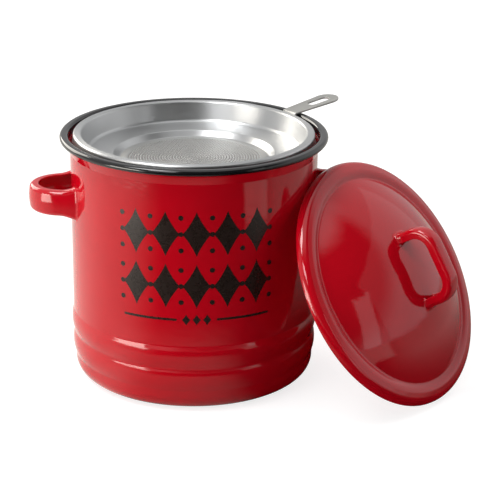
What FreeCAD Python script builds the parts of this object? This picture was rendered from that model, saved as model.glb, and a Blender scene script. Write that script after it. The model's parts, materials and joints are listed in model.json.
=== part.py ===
import FreeCAD, Part
import math
import os
from FreeCAD import Vector

# Lengths in millimetres, angles in degrees. The pot stands upright on z = 0 with its axis on Z
# and its two handles on the X axis. The strainer hangs in its mouth. The lid stands on its edge
# beside the pot and leans over the handle on the +X side.

UP = Vector(0, 0, 1)
ORIGIN = Vector(0, 0, 0)

# Pot body: one drawn steel shell
pot_wall = 1.0
pot_radius = 63.5              # outside, under the rolled rim
pot_height = 128.5             # floor to the top of the rolled rim
base_corner_radius = 8.3
base_draw = 1.0                # how much smaller the foot is than the mouth, in radius

# Ribs rolled round the foot of the pot
rib_count = 2
rib_start = 11.3               # height where the lowest rib begins
rib_pitch = 12.0
rib_depth = 1.4
rib_valley_bend = 2.5
rib_crown_bend = 8.0

# Flared mouth and rolled rim
flare_start = 8.6              # below the rim's top
flare_end = 3.9                # below the rim's top
flare_width = 1.65
flare_bend = 2.5
roll_bend = 1.62               # outside bends of the roll, half its height
roll_flat = 1.3                # flat crown between the bends
roll_tail = 0.9                # straight end tucked back under the crown

# Side handles: a channel strap bent into a loop, welded to the wall by both feet
handle_top = 25.9              # below the rim's top
strap_height = 13.2
strap_depth = 5.3              # how far the channel's two edges turn inwards
strap_sheet = 1.2
strap_corner = 2.3
handle_reach = 21.7            # outwards from the wall
handle_width = 41.4            # over both feet
handle_bend = 18.0
foot_share = 0.85              # of a straight leg, where the strap widens towards its weld
foot_spread = 2.5              # extra height at the foot, each way
foot_overlap = 2.0             # of the uncut foot with what it is welded to

# Strainer: a pressed pan that hangs in the flared mouth
pan_sheet = 0.6
strainer_gap = 2.25            # between the flange and the pot's flared mouth
flange_lift = 0.45             # flange above the top of the rolled rim
flange_width = 4.05
pan_depth = 14.3               # flange to ledge
pan_draft = 3.2                # how far the pan's wall leans inwards
shelf_width = 13.1
shelf_fall = 1.0
step_width = 2.8
step_fall = 2.9
ledge_width = 3.0
pan_bend = 1.2
shelf_bend = 2.4
lip_straight = 3.2             # upright part of the turned-down edge
lip_flare = 1.05               # outward flare of that edge, which stands on the pot's flare
seat_clearance = 0.3

# Filter disc, laid on the pan's ledge and spot welded there
filter_sheet = 0.4
filter_play = 0.7              # between the disc's edge and the foot of the pan's step

# Tab: a slotted strip from the strainer's edge, out over the rim
tab_azimuth = 32.5
tab_sheet = 0.9
tab_rise = 7.4
tab_reach = 32.0               # from the flange's edge to the tip
tab_root_width = 10.2
tab_tip_width = 13.6
tab_bend = 1.5
tab_clearance = 0.45           # over the rolled rim
tab_weld_margin = 0.4          # left free on the strainer's edge below the tab's leg
slot_length = 13.0
slot_width = 5.0
slot_end_margin = 5.3          # steel between the slot and the tip

# Lid
lid_sheet = 0.9
lid_overlap = 1.3              # of the lid's edge on the inner shoulder of the rolled rim
skirt_depth = 4.25
skirt_corner = 1.9
brim_width = 6.75
brim_rise = 1.9
groove_width = 3.6
groove_fall = 1.1
groove_bend = 1.5
dome_hem = 2.5                 # straight foot of the dome, in radius
dome_rise = 15.8

# Lid handle: a narrower channel strap bent into an arch
arch_length = 41.0             # over the outer faces
arch_height = 18.4             # above the crown of the dome
arch_bend = 12.3
arch_strap_width = 8.8
arch_splay = 1.0               # how far each foot kicks out at its weld
arch_foot_length = 6.0

# How the lid leans: its skirt against the pot's wall, its hollow over the +X handle
lid_heading = -40.25           # the way the dome faces, from +X
lean_ease = 1.0                # steeper than if the foot of the dome hung on the handle
lean_shift = 5.86              # of the lid's middle from the middle of the handle's round end
lean_clearance = 0.3
lean_samples = 720             # points tried round the skirt's edge

# Sizes that follow from those above
mouth_radius = pot_radius - pot_wall
roll_inner_radius = mouth_radius + flare_width
flare_slope = flare_width / (flare_start - flare_end)
strainer_radius = roll_inner_radius - strainer_gap
flange_top = pot_height + flange_lift
pan_wall_head = strainer_radius - flange_width
step_head = pan_wall_head - pan_draft - shelf_width
step_foot = step_head - step_width
ledge_top = flange_top - pan_depth
tab_tip = strainer_radius + tab_reach
strap_top = pot_height - handle_top
handle_tip = pot_radius + handle_reach
handle_centre = handle_tip - handle_bend
lid_radius = roll_inner_radius + lid_overlap
crest_radius = lid_radius - brim_width
groove_radius = crest_radius - groove_width
dome_radius = groove_radius - dome_hem
dome_sphere = (dome_radius ** 2 + dome_rise ** 2) / (2 * dome_rise)
dome_slope = math.asin(dome_radius / dome_sphere)
dome_foot = brim_rise - groove_fall + dome_hem * math.tan(dome_slope)
crown_height = dome_foot + dome_rise


def unit(start, end):
    dx, dy = end[0] - start[0], end[1] - start[1]
    length = math.hypot(dx, dy)
    return dx / length, dy / length


def beside(corners, distance):
    """The path parallel to one of (x, y, bend radius) corners, that far to its right."""
    shifted = []
    for i, (x, y, bend) in enumerate(corners):
        u = unit(corners[i - 1], corners[i]) if i > 0 else unit(corners[0], corners[1])
        v = unit(corners[i], corners[i + 1]) if i < len(corners) - 1 else u
        scale = distance / (1 + u[0] * v[0] + u[1] * v[1])
        turn = u[0] * v[1] - u[1] * v[0]
        if bend > 0:
            bend += math.copysign(distance, turn)
        shifted.append((x + scale * (u[1] + v[1]), y - scale * (u[0] + v[0]), bend))
    return shifted


def bent_edges(corners):
    """Straight runs joined by tangent arcs, through (x, y, bend radius) corners."""
    edges = []
    last = Vector(corners[0][0], corners[0][1], 0)
    for before, corner, after in zip(corners, corners[1:], corners[2:]):
        u, v = unit(before, corner), unit(corner, after)
        turn = math.acos(u[0] * v[0] + u[1] * v[1])
        reach = corner[2] * math.tan(turn / 2)
        vertex = Vector(corner[0], corner[1], 0)
        enter = vertex - Vector(u[0], u[1], 0) * reach
        leave = vertex + Vector(v[0], v[1], 0) * reach
        inward = (enter + leave) * 0.5 - vertex
        inward.normalize()
        middle = vertex + inward * (corner[2] / math.cos(turn / 2) - corner[2])
        if (enter - last).Length > Part.Precision.approximation():
            edges.append(Part.makeLine(last, enter))
        edges.append(Part.Arc(enter, middle, leave).toShape())
        last = leave
    edges.append(Part.makeLine(last, Vector(corners[-1][0], corners[-1][1], 0)))
    return edges


def sheet_face(corners, sheet):
    """Section of a bent sheet that lies to the right of its corners."""
    other = beside(corners, sheet)
    ends = [[Vector(path[end][0], path[end][1], 0) for path in (corners, other)] for end in (0, -1)]
    edges = bent_edges(corners) + bent_edges(other)
    edges += [Part.makeLine(*pair) for pair in ends]
    return Part.Face(Part.Wire(Part.sortEdges(edges)[0]))


def upright(shape):
    """Turns a shape drawn in XY so that its y becomes height."""
    turned = shape.copy()
    turned.rotate(ORIGIN, Vector(1, 0, 0), 90)
    return turned


def spun(face):
    return upright(face).revolve(ORIGIN, UP, 360)


def filled(corners):
    """Solid of revolution inside an outline of (radius, height) corners that starts on the axis."""
    first = Vector(corners[0][0], corners[0][1], 0)
    last = Vector(corners[-1][0], corners[-1][1], 0)
    foot = Vector(0, last.y, 0)
    edges = bent_edges(corners) + [Part.makeLine(last, foot), Part.makeLine(foot, first)]
    return spun(Part.Face(Part.Wire(Part.sortEdges(edges)[0])))


def pot_outline():
    """Inner surface of the pot, from the middle of its floor up to the flare of its mouth."""
    foot_radius = mouth_radius - base_draw
    draw = base_draw / (2 * rib_count + 1)
    corners = [(0, pot_wall, 0), (foot_radius, pot_wall, base_corner_radius - pot_wall)]
    for i in range(rib_count):
        valley = foot_radius + 2 * i * draw
        height = rib_start + i * rib_pitch
        corners.append((valley, height, rib_valley_bend))
        corners.append((valley + draw + rib_depth, height + rib_pitch / 2, rib_crown_bend))
    ribs_top = rib_start + rib_count * rib_pitch
    corners.append((mouth_radius - draw, ribs_top, rib_valley_bend))
    corners.append((mouth_radius, pot_height - flare_start, flare_bend))
    return corners


def rim_outline():
    """Surface of the mouth from its flare over the rolled rim, to the tail tucked under it."""
    outside = roll_inner_radius + 2 * roll_bend + roll_flat
    under = pot_height - 2 * roll_bend
    return [(roll_inner_radius, pot_height - flare_end, flare_bend),
            (roll_inner_radius, pot_height, roll_bend), (outside, pot_height, roll_bend),
            (outside, under, roll_bend), (outside - roll_bend - roll_tail, under, 0)]


def pot_body():
    return spun(sheet_face(pot_outline() + rim_outline(), pot_wall))


def pot_block():
    """The pot's outside with no hollow, up to the flare of its mouth."""
    return filled(beside(pot_outline(), pot_wall))


def channel(width, outward=0.0):
    """Section of the strap: a web across x = outward, and two edges turned to -x."""
    half = width / 2
    return [(-strap_depth, half, 0), (outward, half, strap_corner),
            (outward, -half, strap_corner), (-strap_depth, -half, 0)]


def stood_across(corners, place, direction):
    """Stands a strap's section across a path in XY, with its web on the path's right."""
    section = upright(sheet_face(corners, strap_sheet))
    section.rotate(ORIGIN, UP, math.degrees(math.atan2(direction[1], direction[0])) - 90)
    section.translate(Vector(place[0], place[1], 0))
    return section.OuterWire


def strap_loop(path, width, length, swollen):
    """A channel strap along a bent path in XY, whose two feet swell to another section."""
    begin, end = unit(path[0], path[1]), unit(path[-2], path[-1])
    first_neck = (path[0][0] + begin[0] * length, path[0][1] + begin[1] * length, 0)
    last_neck = (path[-1][0] - end[0] * length, path[-1][1] - end[1] * length, 0)
    inner = [first_neck] + list(path[1:-1]) + [last_neck]
    spine = Part.Wire(bent_edges(inner))
    strap = spine.makePipeShell([stood_across(channel(width), first_neck, begin)], True, False)
    for foot, neck, along in ((path[0], first_neck, begin), (path[-1], last_neck, end)):
        sections = [stood_across(swollen, foot, along),
                    stood_across(channel(width), neck, along)]
        strap = strap.fuse(Part.makeLoft(sections, True, True))
    return strap.removeSplitter()


def side_handle(azimuth):
    """A loop in plan: two splayed legs tangent to a round end, cut to the pot's wall."""
    half = handle_width / 2
    foot_x = math.sqrt(pot_radius ** 2 - half ** 2) - foot_overlap
    reach = handle_centre - foot_x
    splay = math.atan2(half, reach) - math.asin(handle_bend / math.hypot(reach, half))
    corner_y = half - (handle_tip - foot_x) * math.tan(splay)
    path = [(foot_x, -half, 0), (handle_tip, -corner_y, handle_bend),
            (handle_tip, corner_y, handle_bend), (foot_x, half, 0)]
    leg = math.sqrt(reach ** 2 + half ** 2 - handle_bend ** 2)
    swollen = channel(strap_height + 2 * foot_spread)
    handle = strap_loop(path, strap_height, foot_share * leg, swollen)
    handle.translate(Vector(0, 0, strap_top - strap_height / 2))
    handle.rotate(ORIGIN, UP, azimuth)
    return handle.cut(pot_block())


def pan_outline():
    """Top surface of the strainer pan, from its ledge out over the flange and down its edge."""
    lip_radius = strainer_radius + lip_flare
    sideways = seat_clearance * math.hypot(1, flare_slope)
    lip_above_flare = (lip_radius + sideways - mouth_radius) / flare_slope
    shelf_height = ledge_top + step_fall
    return [(step_foot - ledge_width, ledge_top, 0), (step_foot, ledge_top, pan_bend),
            (step_head, shelf_height, pan_bend),
            (step_head + shelf_width, shelf_height + shelf_fall, shelf_bend),
            (pan_wall_head, flange_top, pan_bend), (strainer_radius, flange_top, pan_bend),
            (strainer_radius, flange_top - lip_straight, pan_bend),
            (lip_radius, pot_height - flare_start + lip_above_flare, 0)]


def strainer_pan():
    return spun(sheet_face(pan_outline(), pan_sheet))


def filter_disc():
    return Part.makeCylinder(step_foot - filter_play, filter_sheet, Vector(0, 0, ledge_top))


def tab_plan():
    """Outline of the tab seen from above, along +X: wider towards its round tip."""
    inner, outer = strainer_radius - tab_sheet, tab_tip - tab_tip_width / 2
    root, end = tab_root_width / 2, tab_tip_width / 2
    corners = [Vector(outer, -end, 0), Vector(inner, -root, 0),
               Vector(inner, root, 0), Vector(outer, end, 0)]
    edges = [Part.makeLine(start, stop) for start, stop in zip(corners, corners[1:])]
    edges.append(Part.Arc(corners[-1], Vector(tab_tip, 0, 0), corners[0]).toShape())
    return Part.Face(Part.Wire(edges))


def slot_plan():
    half = slot_width / 2
    outer = tab_tip - slot_end_margin - half
    inner = outer - slot_length + slot_width
    corners = [Vector(outer, -half, 0), Vector(inner, -half, 0),
               Vector(inner, half, 0), Vector(outer, half, 0)]
    ends = (Vector(inner - half, 0, 0), Vector(outer + half, 0, 0))
    edges = [Part.makeLine(corners[0], corners[1]),
             Part.Arc(corners[1], ends[0], corners[2]).toShape(),
             Part.makeLine(corners[2], corners[3]),
             Part.Arc(corners[3], ends[1], corners[0]).toShape()]
    return Part.Face(Part.Wire(edges))


def strainer_tab():
    """A bent strip: a short leg on the strainer's edge, then an arm that climbs over the rim."""
    slope = math.radians(tab_rise)
    rim_crest = roll_inner_radius + roll_bend
    arm_foot = (pot_height + tab_clearance + tab_sheet / math.cos(slope)
                - (rim_crest - strainer_radius) * math.tan(slope))
    beyond = tab_tip + tab_sheet
    strip = [(strainer_radius, flange_top - lip_straight + tab_weld_margin, 0),
             (strainer_radius, arm_foot, tab_bend),
             (beyond, arm_foot + (beyond - strainer_radius) * math.tan(slope), 0)]
    spread = 2 * math.degrees(math.atan2(tab_tip_width, strainer_radius))
    sector = upright(sheet_face(strip, tab_sheet))
    sector.rotate(ORIGIN, UP, -spread / 2)
    tab = sector.revolve(ORIGIN, UP, spread)
    outline = tab_plan().cut(slot_plan()).extrude(UP * 2 * pot_height)
    tab = tab.common(outline)
    tab.rotate(ORIGIN, UP, tab_azimuth)
    return tab


def lid_outline():
    """Top surface of the lid about its own axis, from the crown out and down its skirt."""
    return [(0, crown_height, 0),
            (dome_sphere * math.tan(dome_slope / 2), crown_height, dome_sphere),
            (groove_radius, brim_rise - groove_fall, groove_bend),
            (crest_radius, brim_rise, groove_bend), (lid_radius, 0, skirt_corner),
            (lid_radius, -skirt_depth, 0)]


def lid_shell():
    return spun(sheet_face(lid_outline(), lid_sheet))


def lid_handle():
    """An arch over the dome, with its feet cut to the dome's surface."""
    half = arch_length / 2
    dome_sag = dome_sphere - math.sqrt(dome_sphere ** 2 - half ** 2)
    foot = crown_height - dome_sag - foot_overlap
    top = crown_height + arch_height
    path = [(half, foot, 0), (half, top, arch_bend), (-half, top, arch_bend), (-half, foot, 0)]
    swollen = channel(arch_strap_width + 2 * arch_splay, arch_splay)
    arch = upright(strap_loop(path, arch_strap_width, arch_foot_length, swollen))
    return arch.cut(filled(lid_outline()))


def lean_angle():
    """Elevation of the lid's axis, eased from that with the dome's foot on the handle's corner."""
    under_dome = dome_foot - (lid_sheet + lean_clearance) / math.cos(dome_slope)
    along = lid_radius + dome_radius - strap_corner * math.sin(dome_slope)
    across = skirt_depth + under_dome - strap_corner * math.cos(dome_slope)
    corner_height = strap_top - strap_corner
    hung = math.atan2(across, along) + math.acos(corner_height / math.hypot(along, across))
    return hung - math.radians(lean_ease)


def distance_over_handle(elevation):
    """Level distance from the pot's axis, in the lid's heading, that hooks the dome's foot."""
    under_dome = dome_foot - (lid_sheet + lean_clearance) / math.cos(dome_slope)
    corner = handle_bend - strap_corner + strap_corner * math.cos(elevation + dome_slope)
    heading = math.radians(lid_heading)
    return (handle_centre * math.cos(heading) + corner
            + dome_radius * math.sin(elevation) - under_dome * math.cos(elevation))


def distance_off_wall(elevation, sideways):
    """Level distance from the pot's axis, in the lid's heading, that clears the pot's wall."""
    nearest = pot_radius + lean_clearance
    needed = []
    for i in range(lean_samples):
        angle = 2 * math.pi * i / lean_samples
        side = sideways + lid_radius * math.sin(angle)
        back = (lid_radius * math.cos(angle) * math.sin(elevation)
                + skirt_depth * math.cos(elevation))
        if abs(side) < nearest:
            needed.append(back + math.sqrt(nearest ** 2 - side ** 2))
    return max(needed)


def leaned(shape):
    """Tips a piece of the lid up on its skirt and leans it over the handle."""
    elevation = lean_angle()
    sideways = -handle_centre * math.sin(math.radians(lid_heading)) - lean_shift
    distance = max(distance_over_handle(elevation), distance_off_wall(elevation, sideways))
    height = lid_radius * math.cos(elevation) + skirt_depth * math.sin(elevation)
    tipped = shape.copy()
    tipped.rotate(ORIGIN, Vector(0, 1, 0), 90 - math.degrees(elevation))
    tipped.translate(Vector(distance, sideways, height))
    tipped.rotate(ORIGIN, UP, lid_heading)
    return tipped


def write(name, shape):
    shape.exportStep(f"parts/{name}.step")


if __name__ == "__main__":
    os.makedirs("parts", exist_ok=True)
    write("pot_body", pot_body())
    write("handle_right", side_handle(0))
    write("handle_left", side_handle(180))
    write("strainer_pan", strainer_pan())
    write("filter_disc", filter_disc())
    write("strainer_tab", strainer_tab())
    write("lid_shell", leaned(lid_shell()))
    write("lid_handle", leaned(lid_handle()))
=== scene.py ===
import json
import math

import bpy
import numpy as np
from mathutils import Matrix, Vector


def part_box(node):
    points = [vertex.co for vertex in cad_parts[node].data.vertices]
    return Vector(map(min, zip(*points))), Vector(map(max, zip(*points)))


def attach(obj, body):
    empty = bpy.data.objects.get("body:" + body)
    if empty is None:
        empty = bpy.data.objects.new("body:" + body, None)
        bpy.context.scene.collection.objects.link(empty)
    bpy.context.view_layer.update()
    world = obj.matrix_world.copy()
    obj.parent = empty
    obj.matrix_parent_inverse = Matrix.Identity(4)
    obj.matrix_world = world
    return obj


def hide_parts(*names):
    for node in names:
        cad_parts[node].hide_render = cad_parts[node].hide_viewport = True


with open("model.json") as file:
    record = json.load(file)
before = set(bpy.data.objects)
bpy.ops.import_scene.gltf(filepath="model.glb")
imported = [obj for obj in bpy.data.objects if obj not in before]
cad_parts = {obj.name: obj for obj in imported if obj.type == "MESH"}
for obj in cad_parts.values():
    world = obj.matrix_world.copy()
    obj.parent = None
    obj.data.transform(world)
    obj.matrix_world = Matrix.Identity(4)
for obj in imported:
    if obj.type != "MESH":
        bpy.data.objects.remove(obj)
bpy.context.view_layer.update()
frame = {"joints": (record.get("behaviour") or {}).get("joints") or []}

# An enamelled steel grease pot with its strainer, and its lid leaning over one handle. The sizes of
# the pieces are in millimetres, those of finishes, floor, lamps and camera in metres, and azimuths
# in degrees from +X.
MM = 0.001
UP = np.array([0.0, 0.0, 1.0])
TINY = 1e-6                    # less than any run or distance of the object

# Pot: one drawn shell
POT_WALL = 1.0
POT_RADIUS = 63.5              # outside, under the rolled rim
BASE_CORNER = 8.3
BASE_DRAW = 1.0                # how much smaller the foot is than the mouth, in radius
RIB_COUNT = 2
RIB_START = 11.3               # height where the lowest rib begins
RIB_PITCH = 12.0
RIB_DEPTH = 1.65
RIB_VALLEY_BEND = 5.0
RIB_CROWN_BEND = 16.0
FLARE_START = 8.6              # below the rim's top, as is its end
FLARE_END = 3.9
FLARE_WIDTH = 1.65
FLARE_BEND = 2.5
ROLL_BEND = 1.62               # half the height of the rolled rim
ROLL_FLAT = 1.3
ROLL_TAIL = 0.9                # straight end tucked back under the crown

# Black enamel of the rim, as depths below its top. Inside, the black of the bead goes on down the
# mouth as painted shade
RIM_BLACK_RADIUS = 64.9        # from here outwards it reaches down to the drop
RIM_BLACK_DROP = 3.3
# On the inner face the black of the bead goes on down into the mouth, where it is painted shade
RIM_BLACK_AND_SHADE_INSIDE = 4.2
RIM_BLACK_TOP = 1.1            # at any radius

# Channel straps of the two side handles and of the lid's arch
HANDLE_TOP = 25.9              # below the rim's top
STRAP_HEIGHT = 13.2
STRAP_DEPTH = 5.3              # how far the channel's two edges turn inwards
STRAP_SHEET = 1.2
STRAP_CORNER = 2.3
STRAP_CROWN = 0.06             # how far the web's middle stands out, as a share of its width
STRAP_CROWN_BEND = 1.5         # in widths
HANDLE_WIDTH = 41.4            # over both feet
HANDLE_BEND = 18.0
FOOT_SHARE = 0.85              # of a straight leg, where the strap widens towards its weld
FOOT_SPREAD = 2.5              # extra height at the foot, each way
FOOT_OVERLAP = 2.0             # how far inside what it is welded to a strap's path starts
ARCH_LENGTH = 41.0             # over the outer faces
ARCH_HEIGHT = 18.4             # above the crown of the dome
ARCH_BEND = 12.3
ARCH_WIDTH = 8.8
ARCH_SPLAY = 1.0               # how far each foot kicks out at its weld
ARCH_FOOT_LENGTH = 6.0
WELD_FILLET = 1.1
WELD_SINK = 0.35               # how far a foot goes into what it is welded to

# Strainer: a pressed pan that hangs in the flared mouth
PAN_SHEET = 0.6
STRAINER_GAP = 2.25            # between the flange and the flared mouth
FLANGE_WIDTH = 4.05
PAN_DEPTH = 14.3               # flange to ledge
PAN_DRAFT = 3.2                # how far the pan's wall leans inwards
SHELF_WIDTH = 13.1
SHELF_FALL = 1.0
STEP_WIDTH = 2.8
STEP_FALL = 2.9
LEDGE_WIDTH = 3.0
PAN_BEND = 1.2
SHELF_BEND = 2.4
LIP_STRAIGHT = 3.2             # upright part of the turned-down edge
LIP_FLARE = 1.05
SEAT_CLEARANCE = 0.3
FILTER_SHEET = 0.15
FILTER_PLAY = 0.7              # between the filter's edge and the foot of the pan's step
FILTER_HOLES_RADIUS = 33.4
HOLE_PITCH = 1.4
HOLE_RADIUS = 0.48

# Tab: a slotted strip from the strainer's edge, out over the rim
TAB_AZIMUTH = 32.5
TAB_SHEET = 0.9
TAB_RISE = 7.4                 # degrees
TAB_REACH = 32.0               # from the flange's edge to the tip
TAB_ROOT_WIDTH = 10.2
TAB_TIP_WIDTH = 13.6
TAB_BEND = 1.5
TAB_EDGE = 0.2                 # width of its bevelled edges
TAB_EDGE_CUTS = 2
TAB_CLEARANCE = 0.45           # over the rolled rim
TAB_WELD_MARGIN = 0.4          # left free on the strainer's edge below the tab's leg
SLOT_LENGTH = 13.0
SLOT_WIDTH = 5.0
SLOT_END_MARGIN = 5.3          # steel between the slot and the tip

# Lid
LID_SHEET = 0.9
LID_OVERLAP = 1.3              # of the closed lid's edge on the shoulder of the rolled rim
SKIRT_DEPTH = 4.25
SKIRT_CORNER = 4.6
BRIM_WIDTH = 6.75
BRIM_RISE = 1.9
GROOVE_WIDTH = 3.6
GROOVE_FALL = 1.1
GROOVE_BEND = 1.5
CREST_BEND = 6.0
DOME_HEM = 2.5                 # straight foot of the dome, in radius
DOME_RISE = 15.8

# Print on the front: rows of lozenges with dots between them, over a ruled line with small ones.
# Sizes are half widths and half heights.
PRINT_AZIMUTH = -92.0
PRINT_LIFT = 0.03              # off the wall
PRINT_ROWS = (94.6, 67.6)      # heights of their middles
LOZENGE_PITCH = 15.4
LOZENGE_SIZE = (7.2, 11.6)
LOZENGE_POWER = 0.85           # under 1 the sides are hollow
DOT_RISE = 8.4
DOT_SIZE = (1.3, 1.3)
RULE_HEIGHT = 50.0
RULE_OFFSET = 24.0
RULE_SIZE = (14.0, 0.6)
RULE_POWER = 14
SMALL_PITCH = 5.2
SMALL_SIZE = (2.2, 2.9)

# How finely the surfaces are cut
TURN_STEPS = 240               # facets round a turned piece
ARC_STEP = math.radians(7)     # along a bend
RUN_STEP = 4.0                 # along a straight run of a turned piece
WHOLE_RUN = 1000.0             # runs of a strap stay whole
TAB_STEP = 1.0
CUT_EDGE = 0.45                # rounding of a sheet's cut edges, in sheets
WELD_ROWS = 7
ENTRY_ROUNDS = 4               # of the search for the place where a swelling foot meets a wall
ARM_ROWS = 7                   # of the tab, from its slot out to its edge
TIP_POINTS = 33
ROOT_POINTS = 13
SIDE_POINTS = 19               # between the tip's and the root's
MOTIF_POINTS = 96              # round each motif of the print
MOTIF_RINGS = 8

# Sizes that follow from those above and from the frame
POT_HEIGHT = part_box("pot_body")[1][2] / MM
HANDLE_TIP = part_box("handle_right")[1][0] / MM
FLANGE_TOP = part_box("strainer_pan")[1][2] / MM
STRAP_TOP = POT_HEIGHT - HANDLE_TOP
MOUTH_RADIUS = POT_RADIUS - POT_WALL
RIB_DRAW = BASE_DRAW / (2 * RIB_COUNT + 1)
RIBS_END = RIB_START + RIB_COUNT * RIB_PITCH
ROLL_INNER = MOUTH_RADIUS + FLARE_WIDTH
FLARE_SLOPE = FLARE_WIDTH / (FLARE_START - FLARE_END)
STRAINER_RADIUS = ROLL_INNER - STRAINER_GAP
PAN_WALL_HEAD = STRAINER_RADIUS - FLANGE_WIDTH
STEP_HEAD = PAN_WALL_HEAD - PAN_DRAFT - SHELF_WIDTH
STEP_FOOT = STEP_HEAD - STEP_WIDTH
LEDGE_TOP = FLANGE_TOP - PAN_DEPTH
TAB_TIP = STRAINER_RADIUS + TAB_REACH
HANDLE_CENTRE = HANDLE_TIP - HANDLE_BEND
LID_RADIUS = ROLL_INNER + LID_OVERLAP
CREST_RADIUS = LID_RADIUS - BRIM_WIDTH
GROOVE_RADIUS = CREST_RADIUS - GROOVE_WIDTH
DOME_RADIUS = GROOVE_RADIUS - DOME_HEM
DOME_SPHERE = (DOME_RADIUS ** 2 + DOME_RISE ** 2) / (2 * DOME_RISE)
DOME_SLOPE = math.asin(DOME_RADIUS / DOME_SPHERE)
CROWN_HEIGHT = BRIM_RISE - GROOVE_FALL + DOME_HEM * math.tan(DOME_SLOPE) + DOME_RISE

# Finishes. A noise is (waves in a metre, detail), a relief is (strength, depth), a colour is linear.
ENAMEL_REDS = ((0.47, 0.0012, 0.008, 1), (0.53, 0.002, 0.011, 1))
ENAMEL_BLACK = (0.006, 0.006, 0.007, 1)
ENAMEL_DRIFT = (28.0, 3.0)
ENAMEL_WAVES = (70.0, 2.0)
ENAMEL_WAVE_RELIEF = (0.22, 0.0004)
ENAMEL_WAVE_SQUEEZE = (1, 1, 2.5)
ENAMEL_PORES = (900.0, 2.0)
ENAMEL_PORE_RELIEF = (0.25, 0.00001)
ENAMEL_ROUGH = (0.05, 0.1)
ENAMEL_IOR = 1.52
ENAMEL_SPECULAR = 0.6
# Steels: tone, roughness, and how far their highlights are drawn out
TURNED_STEEL = ((0.62, 0.627, 0.632), 0.36, 0.75)
SATIN_STEEL = ((0.43, 0.43, 0.42), 0.4, 0.75)
SIEVE_STEEL = ((0.56, 0.558, 0.55), 0.45, 0.3)
STEEL_LINES = (2600.0, 3.0)
STEEL_LINE_RELIEF = (0.4, 0.00003)
STEEL_LINE_WANDER = 0.02       # share of a point's own place, which breaks the perfect circles
STEEL_CLOUD = (60.0, 3.0)
STEEL_CLOUD_SHADE = 0.9
STEEL_ROUGH_SPREAD = 0.05
QUARTER_TURN = 0.25            # turns the stretch of a highlight across the lines
INK_TONES = ((0.015, 0.008, 0.006, 1), (0.024, 0.014, 0.011, 1))
INK_MOTTLE = (450.0, 3.0)
INK_RELIEF = (0.2, 0.00002)
INK_ROUGH = (0.22, 0.34)

# Floor. Its glows are painted light, what glossy pieces see of it in place of the lamps' light on it:
# each is an azimuth, the cosines to it where the glow starts and is full, its strength, and the
# distances where it starts and is full, if any.
FLOOR_HALF = 4.0
FLOOR_DROP = 0.0002
FLOOR_SEEN = 0.8               # of its white to the camera, which the lamps fill up
FLOOR_SEEN_TONE = (0.35, 0.35, 0.35, 1)
# Painted shade: the matt floor is darker on the dim side, so it throws back less light there
FLOOR_TONES = (0.5, 0.85)      # of the matt floor, from the dim side to the bright one
FLOOR_TONE_EDGE = (-0.6, 0.5)
FLOOR_BRIGHT_AZIMUTH = 155.0
FLOOR_MIRRORED = (1, 0.96, 0.88, 1)
FLOOR_GLOWS = (
    (FLOOR_BRIGHT_AZIMUTH, (0.05, 0.75), 0.8, ()),
    (110.0, (-0.1, 0.6), 0.28, ()),
    (-112.0, (0.55, 0.9), 0.35, (0.19, 0.13)),
    (-39.0, (0.976, 0.988), 0.6, (0.32, 0.36)),
    (20.0, (0.5, 0.85), 0.42, (0.12, 0.3)),
    # The strongest glow, far off at the left, is a painted reflection of the low window's light
    (-151.0, (0.94, 0.975), 6.0, (0.42, 0.52)))

# Room. An edge is where a light or a dark starts and is full, as a cosine to its azimuth or as a
# height of 0 to 1.
WHITE = (1, 1, 1, 1)
ROOM_LIGHTS = (0.6, 1.0)       # round about and overhead
ROOM_LIGHT_EDGE = (0.8, 0.95)
DARK_AZIMUTH = -75.0
DARK_WIDENING = 1.15           # what its cosine gains on the way up
DARK_EDGE = (0.72, 1.12)
DARK_TOP_EDGE = (0.93, 0.84)
DARK_DEPTH = 0.95
BAND_AZIMUTH = -87.0
BAND_EDGE = (0.88, 0.965)
BAND_TOP_EDGE = (0.97, 0.9)
BAND_DEPTH = 0.7

# Lamps: place, aim, width and height, watts, colour
DAYLIGHT, LATE_LIGHT = (1, 1, 1), (1, 0.95, 0.86)
LAMPS = {
    "window_left": ((-1.133, -0.628, 0.2), (0, 0, 0.1), (0.62, 0.36), 5.0, LATE_LIGHT),
    "window_behind": ((-0.851, 1.015, 0.704), (0, 0, 0.08), (1.05, 0.8), 13.0, LATE_LIGHT),
    "above_left": ((-0.48, -0.22, 1.19), (0, 0, 0.08), (0.5, 0.5), 7.4, DAYLIGHT),
    "card_right": ((0.98, -0.8, 0.36), (0.1, -0.03, 0.06), (0.26, 0.64), 0.4, DAYLIGHT),
    "low_right": ((0.95, 0.1, 0.42), (0.12, -0.02, 0.05), (1.5, 0.8), 0.9, DAYLIGHT),
    "window_front": ((-0.53, -0.83, 0.98), (0.08, -0.05, 0.06), (0.44, 0.28), 2.6, DAYLIGHT)}

CAMERA_PLACE = (-0.048485, -0.891409, 0.383751)
CAMERA_YAW, CAMERA_PITCH, CAMERA_ROLL = 0.08707, 0.3437, 0.01072     # radians
CAMERA_LENS, CAMERA_SENSOR = 130.33, 36.0                            # millimetres


def unit(start, end):
    """Direction of the run between two corners."""
    run = np.subtract(end[:2], start[:2])
    return run / np.linalg.norm(run)


def beside(corners, distance):
    """The path parallel to one of (x, y, bend radius) corners, that far to its right: each corner
    moves along the sum of its two runs' normals, and its bend grows or shrinks by the distance."""
    shifted = []
    for i, (x, y, bend) in enumerate(corners):
        u = unit(corners[i - 1], corners[i]) if i > 0 else unit(corners[0], corners[1])
        v = unit(corners[i], corners[i + 1]) if i < len(corners) - 1 else u
        scale = distance / (1 + u @ v)
        turn = u[0] * v[1] - u[1] * v[0]
        if bend > 0:
            bend += math.copysign(distance, turn)
        shifted.append((x + scale * (u[1] + v[1]), y - scale * (u[0] + v[0]), bend))
    return shifted


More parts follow.
